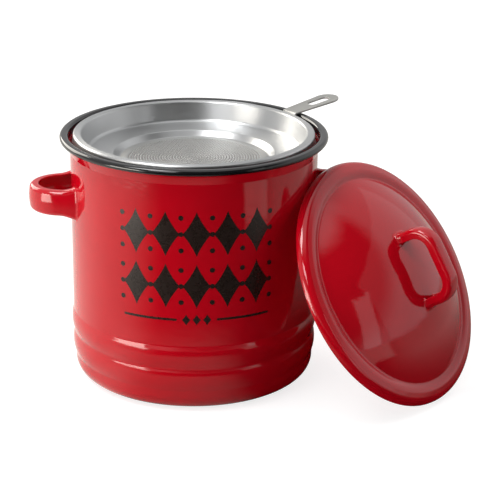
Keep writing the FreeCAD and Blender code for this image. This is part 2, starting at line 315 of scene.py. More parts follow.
def bent_line(corners, longest):
    """Points and directions along straight runs joined by tangent arcs, through (x, y, bend radius)
    corners. Arcs are cut into equal turns, and runs so that no step is longer than the longest."""
    points, ways = [np.array(corners[0][:2], float)], [unit(corners[0], corners[1])]
    for before, corner, after in zip(corners, corners[1:], corners[2:]):
        u, v = unit(before, corner), unit(corner, after)
        turn = math.acos(np.clip(u @ v, -1, 1))
        normal = np.array([-u[1], u[0]]) * np.sign(u[0] * v[1] - u[1] * v[0])
        start = np.array(corner[:2]) - u * corner[2] * math.tan(turn / 2)
        steps = max(2, math.ceil(turn / ARC_STEP), math.ceil(turn * corner[2] / longest))
        angle = np.linspace(0, turn, steps + 1)[:, None]
        extend_line(points, ways, start, u, longest)
        arc = start + corner[2] * (u * np.sin(angle) + normal * (1 - np.cos(angle)))
        points.extend(arc[1:])
        ways.extend(u * np.cos(angle[1:]) + normal * np.sin(angle[1:]))
    extend_line(points, ways, np.array(corners[-1][:2], float), unit(*corners[-2:]), longest)
    return np.array(points), np.array(ways)


def extend_line(points, ways, end, way, longest):
    """Adds evenly spaced points up to the end of a straight run, unless the run has no length."""
    length = np.linalg.norm(end - points[-1])
    if length > TINY:
        cuts = np.linspace(0, 1, math.ceil(length / longest) + 1)[1:, None]
        points.extend(points[-1] + (end - points[-1]) * cuts)
        ways.extend([way] * len(cuts))


def left_of(ways):
    """Normals to the left of directions in a plane."""
    return np.stack([-ways[:, 1], ways[:, 0]], axis=1)


def sheet_corners(corners, sheet, from_axis):
    """Corners round the section of a bent sheet that lies to the right of its path, with its cut
    edges rounded. A section off the axis starts and ends in the middle of its first edge."""
    edge = CUT_EDGE * sheet
    other = beside(corners, sheet)
    there = list(corners[:-1]) + [(*corners[-1][:2], edge)]
    back = [(*other[-1][:2], edge)] + other[-2::-1]
    if from_axis:
        return there + back
    middle = (*np.add(corners[0][:2], other[0][:2]) / 2, 0)
    there[0], back[-1] = (*there[0][:2], edge), (*back[-1][:2], edge)
    return [middle] + there + back + [middle]


def grid_faces(rows, columns, rows_closed=False):
    """Quads between neighbours of a rows by columns grid of points. Its columns wrap round, and its
    rows do where they are closed."""
    row = np.arange(rows if rows_closed else rows - 1)[:, None]
    column = np.arange(columns)[None, :]
    below, beyond = (row + 1) % rows, (column + 1) % columns
    corners = (row * columns + column, below * columns + column,
               below * columns + beyond, row * columns + beyond)
    return np.stack([np.broadcast_to(c, (row.size, columns)).ravel() for c in corners], axis=1)


def fan(pole, ring):
    """Triangles from a pole to each two neighbours of a closed ring."""
    return np.stack([np.full(len(ring), pole), ring, np.roll(ring, -1)], axis=1)


def turned(corners, sheet, from_axis):
    """Revolves the section of a sheet with these (radius, height, bend) corners about Z: x = radius
    cos angle and y = radius sin angle, height kept. Its normals are the section's, turned the same
    way. Ends on the axis become one pole each; a section off the axis is closed on itself."""
    profile, ways = bent_line(sheet_corners(corners, sheet, from_axis), RUN_STEP)
    if not from_axis:
        profile, ways = profile[:-1], ways[:-1]
    angle = np.linspace(0, 2 * math.pi, TURN_STEPS, endpoint=False)
    circle = np.stack([np.cos(angle), np.sin(angle)], axis=1)

    def spread(flat):
        """Points or normals of the section, taken round the circle."""
        upright = np.broadcast_to(flat[:, None, 1:], (len(flat), TURN_STEPS, 1))
        return np.concatenate([flat[:, None, :1] * circle, upright], axis=2).reshape(-1, 3)

    points, normals = spread(profile), spread(left_of(ways))
    if not from_axis:
        return points, grid_faces(len(profile), TURN_STEPS, rows_closed=True).tolist(), normals
    first = np.arange(1, TURN_STEPS + 1)
    last = first + (len(profile) - 3) * TURN_STEPS
    faces = (grid_faces(len(profile) - 2, TURN_STEPS) + 1).tolist() + fan(0, first).tolist()
    faces += fan(last[-1] + 1, last)[:, [1, 0, 2]].tolist()
    keep = slice(TURN_STEPS - 1, len(points) - TURN_STEPS + 1)
    return points[keep], faces, normals[keep]


def pot_outline():
    """Inner face of the pot, from the middle of its floor: up a wall that steps outwards by the
    same draw at each valley and crown of the ribs, and round the rolled rim."""
    foot = MOUTH_RADIUS - BASE_DRAW
    corners = [(0, POT_WALL, 0), (foot, POT_WALL, BASE_CORNER - POT_WALL)]
    for i in range(RIB_COUNT):
        valley, height = foot + 2 * i * RIB_DRAW, RIB_START + i * RIB_PITCH
        corners.append((valley, height, RIB_VALLEY_BEND))
        corners.append((valley + RIB_DRAW + RIB_DEPTH, height + RIB_PITCH / 2, RIB_CROWN_BEND))
    outside = ROLL_INNER + 2 * ROLL_BEND + ROLL_FLAT
    under = POT_HEIGHT - 2 * ROLL_BEND
    return corners + [
        (MOUTH_RADIUS - RIB_DRAW, RIBS_END, RIB_VALLEY_BEND),
        (MOUTH_RADIUS, POT_HEIGHT - FLARE_START, FLARE_BEND),
        (ROLL_INNER, POT_HEIGHT - FLARE_END, FLARE_BEND),
        (ROLL_INNER, POT_HEIGHT, ROLL_BEND), (outside, POT_HEIGHT, ROLL_BEND),
        (outside, under, ROLL_BEND), (outside - ROLL_BEND - ROLL_TAIL, under, 0)]


def pan_outline():
    """Upper face of the strainer's pan, from its ledge outwards. Its lip ends where its outer face
    is the seat's clearance off the slope of the pot's flare."""
    lip = STRAINER_RADIUS + LIP_FLARE
    sideways = SEAT_CLEARANCE * math.hypot(1, FLARE_SLOPE)
    shelf = LEDGE_TOP + STEP_FALL
    lip_end = POT_HEIGHT - FLARE_START + (lip + sideways - MOUTH_RADIUS) / FLARE_SLOPE
    return [(STEP_FOOT - LEDGE_WIDTH, LEDGE_TOP, 0), (STEP_FOOT, LEDGE_TOP, PAN_BEND),
            (STEP_HEAD, shelf, PAN_BEND), (STEP_HEAD + SHELF_WIDTH, shelf + SHELF_FALL, SHELF_BEND),
            (PAN_WALL_HEAD, FLANGE_TOP, PAN_BEND), (STRAINER_RADIUS, FLANGE_TOP, PAN_BEND),
            (STRAINER_RADIUS, FLANGE_TOP - LIP_STRAIGHT, PAN_BEND), (lip, lip_end, 0)]


def lid_outline():
    """Upper face of the lid about its own axis, from its crown: a sphere's cap with a straight hem,
    the groove, the brim and the skirt."""
    return [(0, CROWN_HEIGHT, 0),
            (DOME_SPHERE * math.tan(DOME_SLOPE / 2), CROWN_HEIGHT, DOME_SPHERE),
            (GROOVE_RADIUS, BRIM_RISE - GROOVE_FALL, GROOVE_BEND),
            (CREST_RADIUS, BRIM_RISE, CREST_BEND), (LID_RADIUS, 0, SKIRT_CORNER),
            (LID_RADIUS, -SKIRT_DEPTH, 0)]


def lid_frame():
    """Turn and middle of the leaning lid. Its Z is its joint's axis. Its middle is the skirt's
    depth along that axis from the middle of its edge, a circle that touches three sides of its box:
    a circle reaches its radius times the sine of its axis's angle to each direction."""
    axis = next(np.array(joint["axis"]) for joint in frame["joints"] if joint["child"] == "lid")
    axis = axis / np.linalg.norm(axis)
    low, high = (np.array(corner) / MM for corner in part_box("lid_shell"))
    reach = LID_RADIUS * np.sqrt(1 - axis ** 2)
    edge = np.array([low[0] + reach[0], high[1] - reach[1], low[2] + reach[2]])
    level = np.array([-axis[1], axis[0], 0]) / math.hypot(axis[0], axis[1])
    turn = np.stack([np.cross(level, axis), level, axis], axis=1)
    return turn, edge + SKIRT_DEPTH * axis


def placed(shape, frame_of_lid):
    """A shape of the lid's own axes, turned and moved to where the lid leans."""
    points, faces, normals = shape
    turn, middle = frame_of_lid
    return points @ turn.T + middle, faces, normals @ turn.T


def channel(width, outward=0.0):
    """Points and outward normals round the section of a strap, as (across the path, along the
    strap's width): a web with two edges turned back, the same number of points at every width."""
    half, shoulder = width / 2, outward - STRAP_CROWN * width
    corners = [(-STRAP_DEPTH, half, 0), (shoulder, half, STRAP_CORNER),
               (outward, 0, STRAP_CROWN_BEND * width), (shoulder, -half, STRAP_CORNER),
               (-STRAP_DEPTH, -half, 0)]
    points, ways = bent_line(sheet_corners(corners, STRAP_SHEET, False), WHOLE_RUN)
    return points[:-1], left_of(ways[:-1])


def entry(points, along, centre, radius, spans):
    """How far along the way each point comes out of a ball, or of a rod where a span is zero: the
    far root of the quadratic that puts it on the round face."""
    offset = (points - centre) * spans
    nearest = offset @ along
    return -nearest + np.sqrt(nearest ** 2 - np.sum(offset ** 2, axis=1) + radius ** 2)


def strap_leg(start, way, narrow, swollen, length, welded_to):
    """Rows of one leg, from inside what it is welded to up to where the strap is even. Its section
    goes from swollen to narrow along a smooth step. At the weld it spreads along a parabola from
    the wall to the strap, steered by the corner in which the two would meet."""
    along = np.array([way[0], way[1], 0.0])
    across = np.array([way[1], -way[0], 0.0])

    def carried(flat):
        """Points or normals of a flat section, stood up across the leg."""
        return flat[:, :1] * across + flat[:, 1:] * UP

    foot = carried(swollen[0]) + start
    shrink = carried(narrow[0]) - carried(swollen[0])
    outward = carried(narrow[1])

    def step(places):
        """The smooth step 3 p squared - 2 p cubed of each place's part p of the leg, and its rate."""
        part = np.clip(places / length, 0, 1)[..., None]
        return part ** 2 * (3 - 2 * part), 6 * part * (1 - part) / length

    meet = np.zeros(len(foot))
    for _ in range(ENTRY_ROUNDS):
        meet = entry(foot + shrink * step(meet)[0], along, *welded_to)
    toe = entry(foot + outward * WELD_FILLET + shrink * step(meet)[0], along, *welded_to)
    part = np.linspace(0, 1, WELD_ROWS)[:, None]
    weld = (1 - part) ** 2 * toe + 2 * part * (1 - part) * meet + part ** 2 * (meet + WELD_FILLET)
    run = meet + WELD_FILLET + (length - meet - WELD_FILLET) * part[1:]
    places = np.vstack([toe - WELD_SINK, weld, run])
    value, rate = step(places)
    past = np.zeros(WELD_ROWS - 1)
    spread = np.concatenate([[1], (1 - part[:, 0]) ** 2, past])[:, None, None]
    rows = foot + places[..., None] * along + shrink * value + outward * WELD_FILLET * spread
    side = outward - np.sum(shrink * outward, axis=1, keepdims=True) * rate * along
    centre, _, spans = welded_to
    facing = (rows[1] - centre) * spans
    facing /= np.linalg.norm(facing, axis=1, keepdims=True)
    turned_away = np.concatenate([[0], part[:, 0], past + 1])[:, None, None]
    normals = side * turned_away + facing * (1 - turned_away)
    return rows, normals / np.linalg.norm(normals, axis=2, keepdims=True)


def strap_loop(path, narrow, swollen, length, welded_to):
    """A channel strap swept along a bent path in XY with its web on the path's right, from weld to
    weld: at each point of the path the section stands across the path's direction. Each end is
    closed by a strip between the two long sides of its section."""
    points, ways = bent_line(path, WHOLE_RUN)
    across = np.stack([ways[:, 1], -ways[:, 0], 0 * ways[:, 0]], axis=1)[1:-1, None]
    middle = np.pad(points[1:-1], ((0, 0), (0, 1)))[:, None]
    loop, loop_normals = (part[:, :1] * across + part[:, 1:] * UP for part in narrow)
    mirror = np.array([-1, 1])
    flipped = [[part * mirror for part in section] for section in (narrow, swollen)]
    first = strap_leg(np.array([*path[0][:2], 0.0]), unit(path[0], path[1]), narrow, swollen,
                      length, welded_to)
    last = strap_leg(np.array([*path[-1][:2], 0.0]), unit(path[-1], path[-2]), *flipped, length,
                     welded_to)
    rows = np.concatenate([first[0], loop + middle, last[0][::-1]])
    normals = np.concatenate([first[1], loop_normals, last[1][::-1]])
    count = rows.shape[1]
    left = np.arange(1, count // 2)
    strip = np.stack([left, left + 1, count - left - 1, count - left], axis=1)
    cap = [[0, 1, count - 1]] + strip.tolist()
    last_row = (len(rows) - 1) * count
    faces = grid_faces(len(rows), count)[:, ::-1].tolist()
    faces += [face[::-1] for face in cap]
    faces += [[corner + last_row for corner in face] for face in cap]
    return rows.reshape(-1, 3), faces, normals.reshape(-1, 3)


def side_handle():
    """The +X handle: two legs that splay towards the wall and touch one circle about the handle's
    middle, which both of its bends run round."""
    half = HANDLE_WIDTH / 2
    foot_x = math.sqrt(POT_RADIUS ** 2 - half ** 2) - FOOT_OVERLAP
    reach = HANDLE_CENTRE - foot_x
    splay = math.atan2(half, reach) - math.asin(HANDLE_BEND / math.hypot(reach, half))
    corner_y = half - (HANDLE_TIP - foot_x) * math.tan(splay)
    path = [(foot_x, -half, 0), (HANDLE_TIP, -corner_y, HANDLE_BEND),
            (HANDLE_TIP, corner_y, HANDLE_BEND), (foot_x, half, 0)]
    length = FOOT_SHARE * math.sqrt(reach ** 2 + half ** 2 - HANDLE_BEND ** 2)
    wall = ((0, 0, 0), POT_RADIUS, (1, 1, 0))
    points, faces, normals = strap_loop(path, channel(STRAP_HEIGHT),
                                        channel(STRAP_HEIGHT + 2 * FOOT_SPREAD), length, wall)
    return points + (0, 0, STRAP_TOP - STRAP_HEIGHT / 2), faces, normals


def lid_arch():
    """The lid's handle about the lid's own axes: swept in XY as an arch on the dome's ball, and
    then turned up into XZ."""
    half = ARCH_LENGTH / 2
    foot = CROWN_HEIGHT - DOME_SPHERE + math.sqrt(DOME_SPHERE ** 2 - half ** 2) - FOOT_OVERLAP
    top = CROWN_HEIGHT + ARCH_HEIGHT
    path = [(half, foot, 0), (half, top, ARCH_BEND), (-half, top, ARCH_BEND), (-half, foot, 0)]
    dome = ((0, CROWN_HEIGHT - DOME_SPHERE, 0), DOME_SPHERE, (1, 1, 1))
    points, faces, normals = strap_loop(
        path, channel(ARCH_WIDTH), channel(ARCH_WIDTH + 2 * ARCH_SPLAY, ARCH_SPLAY),
        ARCH_FOOT_LENGTH, dome)
    upright = np.array([[1, 0, 0], [0, 0, -1], [0, 1, 0]])
    return points @ upright.T, faces, normals @ upright.T


def filter_sheet():
    """Flat sheet with round rows of holes: the nodes of a triangular lattice, hexagon by hexagon,
    are moved onto circles one pitch apart, keeping their order round each. A node's cell has its
    corners at the means of the node and two neighbours, and a six-sided hole in its middle. The
    cells of the last ring are joined to the sheet's edge by a plain margin."""
    rings = round(FILTER_HOLES_RADIUS / HOLE_PITCH)
    centre = rings + 2             # of the table of places, which has room for one more ring
    span = 2 * centre + 1
    neighbours = np.array([(1, 0), (0, 1), (-1, 1), (-1, 0), (0, -1), (1, -1)])
    place = np.zeros((span, span, 2))
    lattice = [np.zeros((1, 2), int)]
    for ring in range(1, rings + 2):
        part = np.arange(ring)[:, None]
        nodes = np.concatenate([ring * neighbours[k] + part * neighbours[(k + 2) % 6]
                                for k in range(6)])
        angle = np.arange(6 * ring) * math.pi / (3 * ring)
        circle = np.stack([np.cos(angle), np.sin(angle)], axis=1)
        place[nodes[:, 0] + centre, nodes[:, 1] + centre] = ring * HOLE_PITCH * circle
        lattice.append(nodes)
    last_ring = len(lattice[rings])
    nodes = np.concatenate(lattice[:rings + 1]) + centre
    # The triangles up and down from a node, found by the node at their lower left
    rise = place[:-1, :-1] + place[1:, :-1] + place[:-1, 1:]
    fall = place[1:, :-1] + place[:-1, 1:] + place[1:, 1:]
    corners = np.stack([rise, fall], axis=2).reshape(-1, 2) / 3
    offsets = np.array([(0, 0, 0), (-1, 0, 1), (-1, 0, 0), (-1, -1, 1), (0, -1, 0), (0, -1, 1)])
    at = nodes[:, None] + offsets[None, :, :2]
    cell = (at[..., 0] * (span - 1) + at[..., 1]) * 2 + offsets[None, :, 2]
    middle = place[nodes[:, 0], nodes[:, 1]][:, None]
    spoke = corners[cell] - middle
    holes = middle + HOLE_RADIUS * spoke / np.linalg.norm(spoke, axis=2, keepdims=True)
    hole = len(corners) + np.arange(cell.size).reshape(cell.shape)
    following = np.roll(np.arange(6), -1)
    quads = np.stack([cell, cell[:, following], hole[:, following], hole], axis=2).reshape(-1, 4)
    # A node (a, b) is on the ring that is the largest of |a|, |b| and |a + b|
    facing = nodes[-last_ring:, None] + neighbours[following] - centre
    ring_of_facing = np.abs(np.concatenate([facing, facing.sum(axis=2, keepdims=True)], axis=2))
    outside = ring_of_facing.max(axis=2) > rings
    near, far = cell[-last_ring:][outside], cell[-last_ring:, following][outside]
    edge = len(corners) + cell.size
    margin = np.stack([near, near + edge, far + edge, far], axis=1)
    outward = corners / np.maximum(np.linalg.norm(corners, axis=1, keepdims=True), TINY)
    points = np.concatenate([corners, holes.reshape(-1, 2), outward * (STEP_FOOT - FILTER_PLAY)])
    used, faces = np.unique(np.concatenate([quads, margin]), return_inverse=True)
    flat = np.pad(points[used], ((0, 0), (0, 1)), constant_values=LEDGE_TOP + FILTER_SHEET)
    return flat, faces.reshape(-1, 4).tolist()


def tab_sheet():
    """Top of the slotted tab. Its arm lies between two closed outlines, the slot's and the plan's,
    joined point by point in straight lines, at a height that rises with the distance from the
    pot's axis. From the arm's root, rows of points bend down the strainer's edge. All of it is
    made along +X and turned to the tab's azimuth."""
    slope = math.radians(TAB_RISE)
    rise = math.tan(slope)
    arm_foot = (POT_HEIGHT + TAB_CLEARANCE + TAB_SHEET / math.cos(slope)
                - (ROLL_INNER + ROLL_BEND - STRAINER_RADIUS) * rise)
    low = FLANGE_TOP - LIP_STRAIGHT + TAB_WELD_MARGIN
    ahead = 3 * TAB_SHEET
    leg, _ = bent_line([(STRAINER_RADIUS, low, 0), (STRAINER_RADIUS, arm_foot, TAB_BEND),
                        (STRAINER_RADIUS + ahead, arm_foot + ahead * rise, 0)], TAB_STEP)
    leg = leg[-3::-1]              # downwards, without the two steps past the bend
    right_angle = math.pi / 2
    tip_half, slot_half = TAB_TIP_WIDTH / 2, SLOT_WIDTH / 2
    slot_outer = TAB_TIP - SLOT_END_MARGIN - slot_half
    slot_inner = slot_outer - SLOT_LENGTH + SLOT_WIDTH

    def arc(middle, radius, start, end, count):
        """Points round part of a circle whose middle is on the tab's own axis."""
        angle = np.linspace(start, end, count)
        return np.stack([middle + radius * np.cos(angle), radius * np.sin(angle)], axis=1)

    def straight(start, end):
        """Evenly spaced points between two ends, without the ends."""
        return start + (end - start) * np.linspace(0, 1, SIDE_POINTS + 2)[1:-1, None]

    def closed(outer, inner):
        """One outline of two rows of points and the straight sides between them."""
        return np.vstack([outer, straight(outer[-1], inner[0]), inner,
                          straight(inner[-1], outer[0])])

    root = np.linspace(1, -1, ROOT_POINTS) * TAB_ROOT_WIDTH / 2
    plan = closed(arc(TAB_TIP - tip_half, tip_half, -right_angle, right_angle, TIP_POINTS),
                  np.stack([np.sqrt(leg[0, 0] ** 2 - root ** 2), root], axis=1))
    slot = closed(arc(slot_outer, slot_half, -right_angle, right_angle, TIP_POINTS),
                  arc(slot_inner, slot_half, right_angle, 3 * right_angle, ROOT_POINTS))
    arm = slot + (plan - slot) * np.linspace(0, 1, ARM_ROWS)[:, None, None]
    reach = np.linalg.norm(arm, axis=2, keepdims=True)
    arm = np.concatenate([arm, arm_foot + (reach - STRAINER_RADIUS) * rise], axis=2)
    across = np.broadcast_to(root, (len(leg) - 1, ROOT_POINTS))
    down = np.stack([np.sqrt(leg[1:, :1] ** 2 - across ** 2), across,
                     np.broadcast_to(leg[1:, 1:], across.shape)], axis=2)
    root_start = (ARM_ROWS - 1) * len(plan) + TIP_POINTS + SIDE_POINTS
    below = ARM_ROWS * len(plan) + np.arange(across.size).reshape(across.shape)
    grid = np.vstack([root_start + np.arange(ROOT_POINTS), below])
    leg_faces = np.stack([grid[:-1, :-1], grid[1:, :-1], grid[1:, 1:], grid[:-1, 1:]], axis=2)
    faces = grid_faces(ARM_ROWS, len(plan)).tolist() + leg_faces.reshape(-1, 4).tolist()
    points = np.vstack([arm.reshape(-1, 3), down.reshape(-1, 3)])
    turn = math.radians(TAB_AZIMUTH)
    spin = np.array([[math.cos(turn), -math.sin(turn), 0],
                     [math.sin(turn), math.cos(turn), 0], [0, 0, 1]])
    return points @ spin.T, faces


def lozenge(bearing):
    """A rhombus with slightly hollow sides, as a superellipse of a power under 1."""
    return rounded_off(bearing, LOZENGE_POWER)


def round_dot(bearing):
    """The same distance at every bearing."""
    return np.ones_like(bearing)


def bar(bearing):
    """A long rectangle with rounded corners, as a superellipse of a high power."""
    return rounded_off(bearing, RULE_POWER)


def rounded_off(bearing, power):
    """Distance at which the powers of the cosine's and the sine's parts add up to 1."""
    return 1 / (np.abs(np.cos(bearing)) ** power + np.abs(np.sin(bearing)) ** power) ** (1 / power)


def on_wall(outline, across, height, size):
    """A flat motif bent onto the pot's wall. Its outline is a distance for each bearing; its rings
    run from one point in the middle to that outline, and are wrapped round the wall's circle."""
    bearing = np.linspace(0, 2 * math.pi, MOTIF_POINTS, endpoint=False)
    out = outline(bearing) * np.linspace(0, 1, MOTIF_RINGS + 1)[1:, None]
    x = np.append(across, across + size[0] * out * np.cos(bearing))
    z = np.append(height, height + size[1] * out * np.sin(bearing))
    wall_top = POT_HEIGHT - FLARE_START
    lean = RIB_DRAW * (wall_top - z) / (wall_top - RIBS_END)
    radius = POT_RADIUS - lean + PRINT_LIFT
    turn = math.radians(PRINT_AZIMUTH) + x / POT_RADIUS
    return np.stack([radius * np.cos(turn), radius * np.sin(turn), z], axis=1)


def front_print():
    """Motifs as (outline, across, height, half size) about the middle of the wall's front."""
    motifs = []
    for height in PRINT_ROWS:
        motifs += [(lozenge, LOZENGE_PITCH * i, height, LOZENGE_SIZE) for i in range(-2, 3)]
        motifs += [(round_dot, LOZENGE_PITCH * (i + 0.5), height + rise, DOT_SIZE)
                   for i in range(-3, 3) for rise in (-DOT_RISE, 0, DOT_RISE)]
    motifs += [(bar, side * RULE_OFFSET, RULE_HEIGHT, RULE_SIZE) for side in (-1, 1)]
    motifs += [(lozenge, SMALL_PITCH * i, RULE_HEIGHT, SMALL_SIZE) for i in range(-1, 2)]
    points = np.vstack([on_wall(*motif) for motif in motifs])
    starts = np.arange(0, len(points), 1 + MOTIF_RINGS * MOTIF_POINTS)[:, None, None]
    middles = fan(0, np.arange(1, MOTIF_POINTS + 1)) + starts
    quads = grid_faces(MOTIF_RINGS, MOTIF_POINTS) + 1 + starts
    return points, middles.reshape(-1, 3).tolist() + quads.reshape(-1, 4).tolist()


def make_piece(name, shape, body, material, replaced=()):
    """A smooth mesh object from a shape's points in millimetres in the shared frame and its faces.
    Where the shape has normals they are the exact ones of the surface, so that long facets beside
    small bends stay flat in their reflections."""
    points, faces, *normals = shape
    mesh = bpy.data.meshes.new(name)
    mesh.from_pydata((points * MM).tolist(), [], faces)
    mesh.shade_smooth()
    if normals:
        mesh.normals_split_custom_set_from_vertices(normals[0].tolist())
    mesh.materials.append(material)
    piece = bpy.data.objects.new(name, mesh)
    bpy.context.scene.collection.objects.link(piece)
    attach(piece, body)
    if replaced:
        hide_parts(*replaced)
    return piece


def thicken(piece, sheet):
    """Gives a surface the thickness of its sheet, on the side away from its normals."""
    solid = piece.modifiers.new("sheet", "SOLIDIFY")
    solid.thickness, solid.offset = sheet * MM, -1


def mark_black_and_shade(pot, shape):
    """Sets the rim value of each of the pot's points by its radius, its height and, for the inner
    face, by a normal that points to the axis. The value marks the rim's black enamel and, on the
    inner face, painted shade a little way down the mouth."""
    points, _, normals = shape
    depth = POT_HEIGHT - points[:, 2]
    outer = np.hypot(points[:, 0], points[:, 1]) > RIM_BLACK_RADIUS
    inside = np.sum(points[:, :2] * normals[:, :2], axis=1) < 0
    # Black enamel outside and over the top; on the inner face it goes on into the mouth as painted
    # shade
    black = (outer & (depth < RIM_BLACK_DROP) | inside & (depth < RIM_BLACK_AND_SHADE_INSIDE)
             | (depth < RIM_BLACK_TOP))
    pot.data.attributes.new("rim_black_and_shade", "FLOAT", "POINT").data.foreach_set(
        "value", black.astype(np.float32))


def add(tree, kind, inputs=(), **settings):
    """A shader node whose inputs are set to values or joined to the sockets they are given."""
    node = tree.nodes.new(kind)
    for key, value in settings.items():
        setattr(node, key, value)
    for key, value in dict(inputs).items():
        if isinstance(value, bpy.types.NodeSocket):
            tree.links.new(value, node.inputs[key])
        else:
            node.inputs[key].default_value = value
    return node


def blend(tree, factor, first, second):
    """The first colour where the factor is 0, the second where it is 1."""
    return add(tree, "ShaderNodeMix", {0: factor, 6: first, 7: second}, data_type="RGBA").outputs[2]


def spread_over(tree, value, low, high):
    """Low where the value is 0 and high where it is 1, evenly between."""
    return add(tree, "ShaderNodeMapRange", {"Value": value, "To Min": low,
                                            "To Max": high}).outputs["Result"]


def smooth(tree, value, start, end):
    """0 before the start and 1 past the end, with a smooth step between them."""
    return add(tree, "ShaderNodeMapRange", {"Value": value, "From Min": start, "From Max": end},
               interpolation_type="SMOOTHSTEP").outputs["Result"]


def combined(tree, operation, *values):
    """The values added, multiplied or compared one after the other."""
    total = values[0]
    for value in values[1:]:
        total = add(tree, "ShaderNodeMath", {0: total, 1: value}, operation=operation).outputs[0]
    return total


def bearing_to(tree, vector, azimuth):
    """Cosine of the angle that a vector makes with an azimuth, seen from above."""
    level = add(tree, "ShaderNodeVectorMath", {0: vector, 1: (1, 1, 0)}, operation="MULTIPLY")
    way = add(tree, "ShaderNodeVectorMath", {0: level.outputs[0]}, operation="NORMALIZE")
    toward = (math.cos(math.radians(azimuth)), math.sin(math.radians(azimuth)), 0)
    return add(tree, "ShaderNodeVectorMath", {0: way.outputs[0], 1: toward},
               operation="DOT_PRODUCT").outputs["Value"]


def noise(tree, place, kind):
    """Value of 0 to 1 of a noise of so many waves in a metre, with so much detail."""
    return add(tree, "ShaderNodeTexNoise", {"Vector": place, "Scale": kind[0],
                                            "Detail": kind[1]}).outputs["Fac"]


def bump(tree, height, relief, under=()):
    """Normal of a relief of that strength and depth, over the normal under it."""
    return add(tree, "ShaderNodeBump", {"Height": height, "Strength": relief[0],
                                        "Distance": relief[1], **dict(under)}).outputs["Normal"]


def new_material(name):
    """An empty node material, and its tree."""
    material = bpy.data.materials.new(name)
    material.use_nodes = True
    material.node_tree.nodes.clear()
    return material, material.node_tree


def finish(tree, colour, rough, normal, **uniform):
    """Ends a material in a shader whose uniform values are set on its own sockets."""
    shade = add(tree, "ShaderNodeBsdfPrincipled", {"Base Color": colour, "Roughness": rough,
                                                   "Normal": normal})
    for socket, value in uniform.items():
        shade.inputs[socket.replace("_", " ")].default_value = value
    add(tree, "ShaderNodeOutputMaterial", {"Surface": shade.outputs["BSDF"]})
    return shade


def enamel(name):
    """Glossy glass coat over steel: slow waves and fine pores in the surface, a red that drifts a
    little lighter and darker, and black where the mesh's rim value says so, which is the rim's
    black enamel and painted shade just inside the mouth."""
    material, tree = new_material(name)
    place = add(tree, "ShaderNodeTexCoord").outputs["Object"]
    squeezed = add(tree, "ShaderNodeMapping", {"Vector": place, "Scale": ENAMEL_WAVE_SQUEEZE})
    red = blend(tree, noise(tree, place, ENAMEL_DRIFT), *ENAMEL_REDS)
    # The rim's black enamel, and painted shade just inside the mouth
    rim = add(tree, "ShaderNodeAttribute", attribute_name="rim_black_and_shade").outputs["Fac"]
    pores = noise(tree, place, ENAMEL_PORES)
    wavy = bump(tree, noise(tree, squeezed.outputs[0], ENAMEL_WAVES), ENAMEL_WAVE_RELIEF)
    fine = bump(tree, pores, ENAMEL_PORE_RELIEF, {"Normal": wavy})
    shade = finish(tree, blend(tree, rim, red, ENAMEL_BLACK),
                   spread_over(tree, pores, *ENAMEL_ROUGH), fine, IOR=ENAMEL_IOR)
    shade.inputs["Specular IOR Level"].default_value = ENAMEL_SPECULAR
    return material


def steel(name, tone, rough, drawn):
    """Stainless steel with fine turned lines: noise drawn out round the pot's axis and squeezed
    along radius and height, in both the surface and its roughness. The tangent (-y, x, 0) runs
    round the axis, and highlights are drawn out across it."""
    material, tree = new_material(name)
    place = add(tree, "ShaderNodeTexCoord").outputs["Object"]
    parts = add(tree, "ShaderNodeSeparateXYZ", {0: place}).outputs
    flat = add(tree, "ShaderNodeCombineXYZ", {0: parts["X"], 1: parts["Y"]}).outputs[0]
    radius = add(tree, "ShaderNodeVectorMath", {0: flat}, operation="LENGTH").outputs["Value"]
    lines = add(tree, "ShaderNodeCombineXYZ", {0: radius, 1: parts["Z"]}).outputs[0]
    wander = add(tree, "ShaderNodeVectorMath", {0: place, 3: STEEL_LINE_WANDER}, operation="SCALE")
    along = add(tree, "ShaderNodeVectorMath", {0: lines, 1: wander.outputs[0]}, operation="ADD")
    grain = noise(tree, along.outputs[0], STEEL_LINES)
    dull = (*(STEEL_CLOUD_SHADE * part for part in tone), 1)
    shade = finish(tree, blend(tree, noise(tree, place, STEEL_CLOUD), dull, (*tone, 1)),
                   spread_over(tree, grain, rough - STEEL_ROUGH_SPREAD, rough + STEEL_ROUGH_SPREAD),
                   bump(tree, grain, STEEL_LINE_RELIEF), Metallic=1.0, Anisotropic=drawn,
                   Anisotropic_Rotation=QUARTER_TURN)
    back = combined(tree, "MULTIPLY", parts["Y"], -1.0)
    round_axis = add(tree, "ShaderNodeCombineXYZ", {0: back, 1: parts["X"]}).outputs[0]
    tree.links.new(round_axis, shade.inputs["Tangent"])
    return material


def print_ink(name):
    """Charcoal glass print, fired into the enamel: a little rougher, faintly mottled."""
    material, tree = new_material(name)
    place = add(tree, "ShaderNodeTexCoord").outputs["Object"]
    mottle = noise(tree, place, INK_MOTTLE)
    finish(tree, blend(tree, mottle, *INK_TONES), spread_over(tree, mottle, *INK_ROUGH),
           bump(tree, mottle, INK_RELIEF))
    return material


